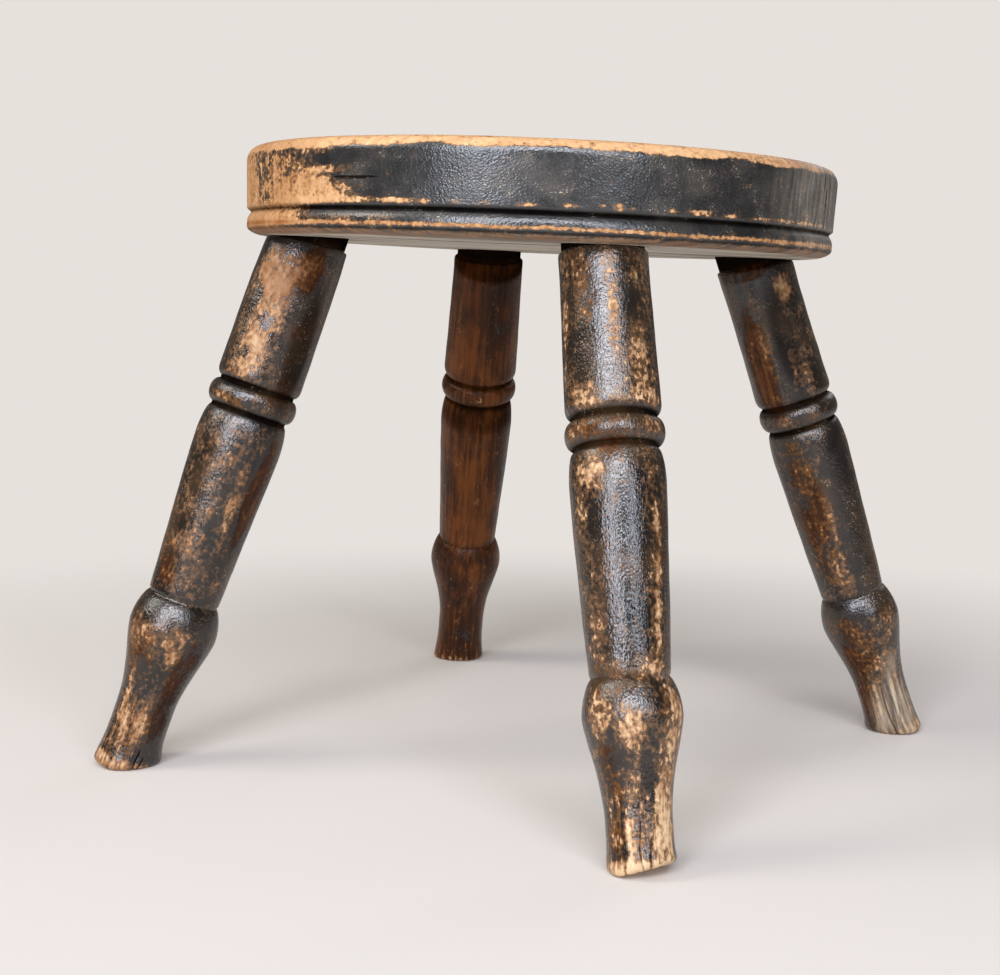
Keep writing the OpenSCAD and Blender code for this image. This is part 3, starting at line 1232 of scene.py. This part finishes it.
# The wedges are split from beech and driven in dry. They were never stained, so their end grain
# is dull and brown with old dirt. Its real vessels are 0.05 mm wide and are drawn as streaks.
@dataclass(frozen=True)
class Beech:
    """Bare split beech."""

    name: str = "split_beech"
    streak: float = 1 / 0.9
    stretch: float = 1 / 0.09  # a streak's length
    colours_at: tuple = (0.3, 0.5, 0.7)
    colours: tuple = ("#5d3c21", "#8e6238", "#b0824f")
    relief: float = 0.1
    gloss: float = 0.6

    def material(self) -> bpy.types.Material:
        """Build the material.

        Returns:
            The finished material.
        """
        material = bpy.data.materials.new(self.name)
        add = NodeTree(material).add
        place = add("TexCoord", {}, "Object")
        across, along = 1 / (self.streak * MM), 1 / (self.stretch * MM)
        drawn = add("VectorMath", [place, (across, across, along)], operation="MULTIPLY")
        streaks = add("TexNoise", {"Vector": drawn, "Scale": 1.0, "Detail": 5.0}, "Fac")
        colour = add("ValToRGB", [streaks], stops=dict(zip(self.colours_at, self.colours)))
        bump = add("Bump", {"Height": streaks, "Distance": self.relief * MM})
        look = {"Base Color": colour, "Roughness": self.gloss, "Normal": bump}
        add("OutputMaterial", {"Surface": add("BsdfPrincipled", look)})
        return material


@dataclass(frozen=True)
class Lamp:
    """A soft lamp that faces the stool."""

    name: str
    place: tuple  # in metres, as its size
    size: tuple
    power: float  # in watts
    colour: str
    target: tuple = (0.0, 0.0, 0.12)

    def hang(self) -> None:
        """Hang the lamp."""
        light = bpy.data.lights.new(self.name, "AREA")
        light.shape = "RECTANGLE"
        light.size, light.size_y = self.size
        light.energy = self.power
        light.color = linear(self.colour)[:3]
        lamp = bpy.data.objects.new(self.name, light)
        lamp.location = self.place
        aim = Vector(self.target) - Vector(self.place)
        lamp.rotation_euler = aim.to_track_quat("-Z", "Y").to_euler()
        bpy.context.scene.collection.objects.link(lamp)


@dataclass(frozen=True)
class Studio:
    """A plain pale floor and backdrop, soft light and the camera."""

    floor_colour: str = "#d2ccc6"
    back_colour: str = "#e6e1dc"
    # In metres: the floor's radius, its depth below the feet, where it fades into the backdrop,
    # and the length of the light rays that start in the gap below a foot.
    floor_radius: float = 6.0
    floor_drop: float = 0.0002
    fade: tuple = (0.2, 0.6)
    contact: float = 0.002
    contact_colour: str = "#b4aca4"
    camera_at: tuple = (335.271, -563.9, 180.162)
    yaw: float = -31.993
    pitch: float = 6.332
    roll: float = 0.948
    focal_px: float = 1598.375
    middle_px: tuple = (503.322, 486.874)
    air_colour: str = "#f4f2f0"
    air: float = 0.3
    mirrored: float = 0.22
    lamps: tuple = (
        Lamp("front_window", (0.26, -1.84, 0.6), (0.5, 0.6), 15.0, "#eaf1ff"),
        Lamp("right_window", (1.54, -0.96, 0.7), (0.4, 0.5), 8.0, "#eaf1ff"),
        Lamp("high_window", (0.76, -1.58, 1.3), (1.7, 0.45), 38.0, "#f4f6ff"),
        Lamp("left_window", (-1.05, -1.05, 1.2), (0.7, 0.7), 12.0, "#fff8ee"),
        Lamp("back_window", (0.1, 1.9, 1.3), (1.2, 0.7), 7.0, "#f6f6ff"),
        Lamp("roof_light_left", (-0.2, -0.9, 1.6), (0.4, 0.4), 2.5, "#fffdf8"),
        Lamp("roof_light_right", (1.0, -0.6, 1.5), (0.4, 0.4), 2.5, "#f2f6ff"),
    )

    def camera(self) -> None:
        """Set the camera where the photograph was taken from."""
        yaw, pitch, roll = (math.radians(a) for a in (self.yaw, self.pitch, self.roll))
        flat = Vector((math.sin(yaw), math.cos(yaw), 0))
        ahead = flat * math.cos(pitch) - Vector((0, 0, math.sin(pitch)))
        right = ahead.cross(Vector((0, 0, 1))).normalized()
        up = right.cross(ahead)
        side = math.cos(roll) * right + math.sin(roll) * up
        over = math.cos(roll) * up - math.sin(roll) * right
        lens = bpy.data.cameras.new("camera")
        lens.sensor_width = SENSOR_MM
        lens.lens = self.focal_px / PHOTO_WIDTH * SENSOR_MM
        lens.shift_x = -(self.middle_px[0] - PHOTO_WIDTH / 2) / PHOTO_WIDTH
        lens.shift_y = (self.middle_px[1] - PHOTO_HEIGHT / 2) / PHOTO_WIDTH
        lens.clip_start, lens.clip_end = 0.01, 50
        camera = bpy.data.objects.new("camera", lens)
        turn = Matrix((side, over, -ahead)).transposed().to_4x4()
        camera.matrix_world = Matrix.Translation(Vector(self.camera_at) * MM) @ turn
        bpy.context.scene.collection.objects.link(camera)
        bpy.context.scene.camera = camera

    def floor(self) -> None:
        """Lay the floor: matt near the stool, and the backdrop's colour further out."""
        shape = bmesh.new()
        bmesh.ops.create_circle(shape, cap_ends=True, radius=self.floor_radius, segments=96)
        mesh = bpy.data.meshes.new("floor")
        shape.to_mesh(mesh)
        shape.free()
        floor = bpy.data.objects.new("floor", mesh)
        floor.location.z = -self.floor_drop
        bpy.context.scene.collection.objects.link(floor)
        material = bpy.data.materials.new("pale_floor")
        add = NodeTree(material).add
        far = add("VectorMath", [add("TexCoord", {}, "Object")], "Value", operation="LENGTH")
        far = add("MapRange", [far, *self.fade], **SMOOTH)
        seen = add("LightPath", {}, "Is Camera Ray")
        far = add("Math", [far, seen], operation="MULTIPLY")
        matt = {"Base Color": self.floor_colour, "Roughness": 1.0, "Specular IOR Level": 0.05}
        back = add("Emission", {"Color": self.back_colour})
        shader = add("MixShader", [far, add("BsdfPrincipled", matt), back])

        # A foot's end is so close to the floor that no light gets there, and it would be black
        # when it is seen from below. The rays that leave it are short, and meet a glow instead.
        short = add("Math", [add("LightPath", {}, "Ray Length"), self.contact], operation="LESS_THAN")
        soft = add("LightPath", {}, "Is Diffuse Ray")
        short = add("Math", [short, soft], operation="MULTIPLY")
        shader = add("MixShader", [short, shader, add("Emission", {"Color": self.contact_colour})])

        # From below, the floor is clear.
        below = add("NewGeometry", {}, "Backfacing")
        shader = add("MixShader", [below, shader, add("BsdfTransparent", {})])
        add("OutputMaterial", {"Surface": shader})
        mesh.materials.append(material)

    def world(self) -> None:
        """Fill the room with pale light and show the backdrop's colour behind the stool."""
        world = bpy.data.worlds.new("room")
        bpy.context.scene.world = world
        add = NodeTree(world).add
        air, mirrored, back = (
            add("Background", {"Color": colour, "Strength": strength})
            for colour, strength in (
                (self.air_colour, self.air),
                (self.back_colour, self.mirrored),
                (self.back_colour, 1.0),
            )
        )
        camera, through, glossy = (
            add("LightPath", {}, f"Is {kind} Ray") for kind in ("Camera", "Transmission", "Glossy")
        )
        seen = add("Math", [camera, through], operation="MAXIMUM")
        shader = add("MixShader", [glossy, air, mirrored])
        add("OutputWorld", {"Surface": add("MixShader", [seen, shader, back])})

    def set_up(self) -> None:
        """Set up all of it."""
        self.camera()
        self.floor()
        for lamp in self.lamps:
            lamp.hang()
        self.world()
        bpy.context.scene.view_settings.view_transform = "Standard"


def patches(**layers: tuple) -> tuple:
    """Set out patches: along, around, half length, half width and amount, by layer."""
    return tuple(Patch(Wear(layer), *row) for layer, rows in layers.items() for row in rows)


# The wear of this one stool, as far as the photograph shows it, laid one by one.
LEFT_PATCHES = patches(
    bare=(
        (17, 54, 9, 34, 0.75), (35, 62, 15, 24, 0.7), (52, 56, 9, 28, 0.6), (28, 36, 3, 10, -0.45),
        (37, 62, 3, 12, -0.5), (50, 48, 3, 8, -0.4), (44, 78, 5, 6, -0.35), (42, 116, 24, 20, -0.5),
        (4, 60, 3, 100, -0.6), (12, 92, 5, 14, 0.3), (69, 40, 2, 18, 0.3), (88, 62, 10, 20, 0.22),
        (106, 103, 18, 8, 0.4), (112, 60, 16, 25, 0.15), (134, 60, 14, 26, 0.25), (118, 88, 9, 8, -0.3),
        (105, 130, 26, 16, -0.2), (155, 80, 4, 60, -0.5), (165, 30, 8, 14, 0.4), (165, 62, 7, 18, 0.35),
        (166, 92, 9, 13, 0.6), (180, 70, 6, 30, -0.1), (198, 38, 17, 9, 0.65), (202, 68, 10, 22, 0.55),
        (190, 80, 12, 20, 0.2), (190, 132, 30, 24, -0.45),
    ),
    thin=(
        (14, 95, 9, 18, 0.7), (69, 40, 3, 35, 0.5), (103, 132, 24, 15, 0.9), (142, 36, 9, 20, 0.5),
        (185, 60, 30, 50, 0.3), (186, 126, 28, 26, 0.45), (159, 78, 5, 40, -0.4),
    ),
    # The soot patch is painted shade on the side away from the light.
    soot=((44, 122, 26, 20, 0.4),),
    oil=((16, 66, 14, 36, 0.3),),
)
FRONT_PATCHES = patches(
    bare=(
        (10, -66, 5, 26, 0.25), (30, -84, 8, 8, 0.5), (42, -62, 7, 18, -0.25), (16, -14, 10, 9, 0.3),
        (34, -14, 12, 7, 0.6), (32, -34, 26, 9, -0.3), (24, 8, 9, 9, -0.3), (48, 14, 9, 16, 0.5),
        (55, 40, 6, 12, 0.35), (56, -58, 4, 26, 0.35), (58, 0, 2, 70, 0.25), (67, 30, 3, 16, 0.4),
        (68, -70, 3, 16, 0.35), (84, -50, 7, 13, 0.6), (92, -74, 20, 10, 0.25), (84, -10, 6, 8, 0.25),
        (98, -52, 12, 8, -0.3), (112, -12, 36, 20, -0.25), (98, 26, 6, 5, 0.6), (112, 31, 16, 5, 0.4),
        (134, 25, 15, 5, 0.6), (112, 50, 34, 12, -0.2), (133, -64, 8, 14, 0.35), (146, 20, 5, 13, 0.5),
        (144, 26, 2, 4, -0.9), (148, -8, 3, 14, 0.3), (163, -62, 7, 18, 0.5), (166, -26, 7, 18, 0.55),
        (166, 36, 12, 20, 0.6), (175, -45, 4, 14, -0.6), (181, -4, 6, 9, -0.8), (196, -5, 22, 60, 0.1),
        (195, 32, 18, 22, 0.75), (200, -24, 13, 22, 0.38), (203, 2, 9, 12, 0.2),
        (202, -66, 16, 16, 0.15),
    ),
    thin=(
        (18, -60, 20, 34, 0.2), (20, 38, 18, 20, 0.1), (68, -62, 4, 24, 0.3), (110, -65, 36, 22, 0.05),
        (115, 44, 36, 18, 0.35), (194, -62, 22, 22, 0.6),
    ),
)
RIGHT_PATCHES = patches(
    bare=(
        (32, -122, 9, 14, 0.3), (14, -74, 6, 13, 0.85), (25, -105, 16, 9, -0.4), (50, -84, 9, 14, 0.3),
        (45, -108, 12, 8, -0.3), (68, -132, 2, 16, 0.3), (90, -126, 10, 16, 0.2),
        (110, -106, 10, 7, 0.4), (128, -116, 12, 18, 0.3), (142, -112, 9, 15, 0.35),
        (112, -68, 42, 24, -0.4), (153, -110, 4, 60, -0.5), (163, -64, 7, 15, 0.5),
        (168, -112, 8, 20, 0.25), (196, -88, 20, 45, 0.4),
    ),
    thin=(
        (4, -130, 4, 45, 0.8), (42, -143, 24, 20, 0.75), (112, -132, 42, 28, 0.5),
        (172, -120, 14, 28, 0.6), (195, -148, 20, 20, 0.4),
    ),
    grime=((206, -92, 14, 50, 0.7), (192, -70, 14, 25, 0.4)),
    # The soot patch darkens and dulls the black on the upper shaft.
    soot=((34, -92, 26, 22, 0.35),),
)
BACK_PATCHES = patches(
    bare=(
        (219, 180, 4, 60, 0.9), (68, 176, 2, 7, 0.8), (123, 186, 3, 6, 0.45), (113, 186, 2, 5, 0.3),
        (171, 190, 4, 7, 0.3),
    ),
    thin=((30, 150, 40, 30, 0.3), (115, 180, 45, 40, 0.3), (153, 180, 5, 90, -0.35)),
    # The soot patches are painted shade: at the top under the seat and in a band below the ring.
    soot=((5, 180, 5, 90, 0.6), (79, 180, 7, 90, 0.4)),
)
SEAT_PATCHES = patches(
    bare=(
        (18, -141, 20, 15, 1.0), (18, -123, 20, 15, 0.72), (19, -110, 10, 9, 0.45),
        (22.3, -98, 1.5, 6, 0.65), (14.5, -105, 6, 9, 0.6), (15.5, -98, 3.5, 6, 0.75),
        (30, -102, 2.5, 5, 0.7), (21, -103, 4, 5, 0.3), (11.8, -98, 1.3, 16, 1.0),
        (11.8, -84, 1.0, 3, 0.95), (11.6, -78.5, 0.9, 1.2, 0.85), (11.6, -73, 0.8, 2.0, 0.8),
        (11.6, -68, 0.8, 1.4, 0.8), (11.6, -61.5, 0.8, 2.4, 0.8), (11.8, -54, 0.9, 1.6, 0.9),
        (12.2, -48.8, 1.0, 0.7, 1.0), (11.8, -46.0, 1.5, 1.0, 1.1), (11.8, -43.6, 0.9, 0.5, 1.0),
        (11.6, -36.5, 0.8, 1.2, 0.9), (11.8, -31, 1.1, 2.4, 1.0), (11.6, -25, 0.9, 1.6, 0.85),
        (11.2, -10, 0.7, 16, 0.7), (6, -129, 5, 26, 0.9), (6, -93, 1.2, 8, 0.5), (18, 10, 20, 24, 0.35),
        (17, 58, 20, 20, 0.75), (13, 96, 4, 13, 0.8), (26, 140, 7, 9, 0.6), (11.8, 152, 1.4, 12, 0.9),
        (14, 184, 7, 16, 0.65), (24, 196, 9, 8, 0.5), (32, 9, 2.5, 17, -0.9), (32, -17, 1.5, 4, -0.4),
    ),
    thin=((18, 4, 24, 26, 0.3), (20, 118, 16, 34, 0.7)),
    grime=((20, 12, 20, 22, 0.25),),
    soot=((19.4, -92.5, 0.55, 4.5, 1.0), (27, 4.5, 3.5, 0.4, 0.8), (21, 6.2, 3.5, 0.35, 0.7)),
    oil=((18, -126, 26, 26, 0.5), (32, 6, 5, 26, 0.6)),
    streak=((18, -132, 24, 24, 0.3), (18, 12, 26, 26, 0.45), (18, 52, 26, 24, 0.35)),
)
# The checks and splits of three feet.
LEFT_CRACKS = (
    Crack(208, 224, 97, 3, 0.4, 0.6, True),
    Crack(211, 224, 108, -3, 0.35, 0.5, True),
    Crack(188, 205, 60, 3, 0.3, 0.2),
)
FRONT_CRACKS = (
    Crack(192, 218, -22, 3, 0.25, 0.2, True),
    Crack(200, 218, -3, -2, 0.3, 0.3, True),
)
RIGHT_CRACKS = (
    Crack(184, 220, -110, 6, 0.4, 0.8, True),
    Crack(198, 220, -80, -5, 0.25, 0.3, True),
)


def main() -> None:
    """Build and dress every piece."""
    logging.basicConfig(level=logging.INFO, format="%(name)s: %(message)s")
    stance, turning = Stance(), Turning()
    leg_finish = WornEbony("worn_ebonised_leg").material()
    # Each leg's own thickness, wear and side towards the camera, as the photograph shows them.
    left = {"bare": 0.0, "thin": 0.15, "oil": 0.45, "seen": 81, "seed": 1.3, "cracks": LEFT_CRACKS}
    back = {"bare": -0.3, "thin": 1.0, "oil": 0.5, "seen": 174, "seed": 4.1}
    front = {"bare": 0.08, "thin": 0.1, "oil": 0.0, "seen": -21, "seed": 7.9, "cracks": FRONT_CRACKS}
    right = {"bare": -0.03, "thin": 0.1, "oil": 0.45, "seen": -106, "seed": 12.7, "cracks": RIGHT_CRACKS}
    legs = (
        LegWork(Corner.LEFT, stance, turning, 1.02, LEFT_PATCHES, **left),
        LegWork(Corner.BACK, stance, turning, 1.02, BACK_PATCHES, **back),
        LegWork(Corner.FRONT, stance, turning, 1.0, FRONT_PATCHES, **front, facets=(Facet(60, 0, 0.22),)),
        LegWork(Corner.RIGHT, stance, turning, 0.967, RIGHT_PATCHES, **right),
    )
    for leg in legs:
        piece = leg.build()
        leg.dress(piece, leg_finish)
        log.info("%s: %d faces", piece.name, len(piece.data.polygons))
    seat = SeatBoard(stance, turning, SEAT_PATCHES)
    piece = seat.build()
    seat_finish = WornEbony(
        "worn_ebonised_seat",
        film_scale=(1.0, 1.2, 1.0),
        wood_scale=(1.0, 0.12, 0.03),
        craze=0.85,
        craze_depth=0.03,
        gloss=(0.24, 0.36),
        polish=0.85,
        black=("#0b0b0c", "#1b1a1a", "#36322e"),
        wood=("#9b6e42", "#c69868", "#d8b186"),
        scrubbed="#dbae80",
        patina="#8a5426",
        fibre_share=0.35,
        uneven=0.3,
        bare_gloss=0.55,
        bare_polish=0.15,
        weathered=("#989082", "#c4bcae", "#e0d9cd"),
    )
    seat.dress(piece, seat_finish.material())
    log.info("%s: %d faces", piece.name, len(piece.data.polygons))
    beech = Beech().material()
    for corner in Corner:
        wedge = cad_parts[corner.wedge]
        wedge.data.materials.clear()
        wedge.data.materials.append(beech)
        log.info("%s: a CAD node with its finish", corner.wedge)
    Studio().set_up()


if __name__ == "__main__":
    main()
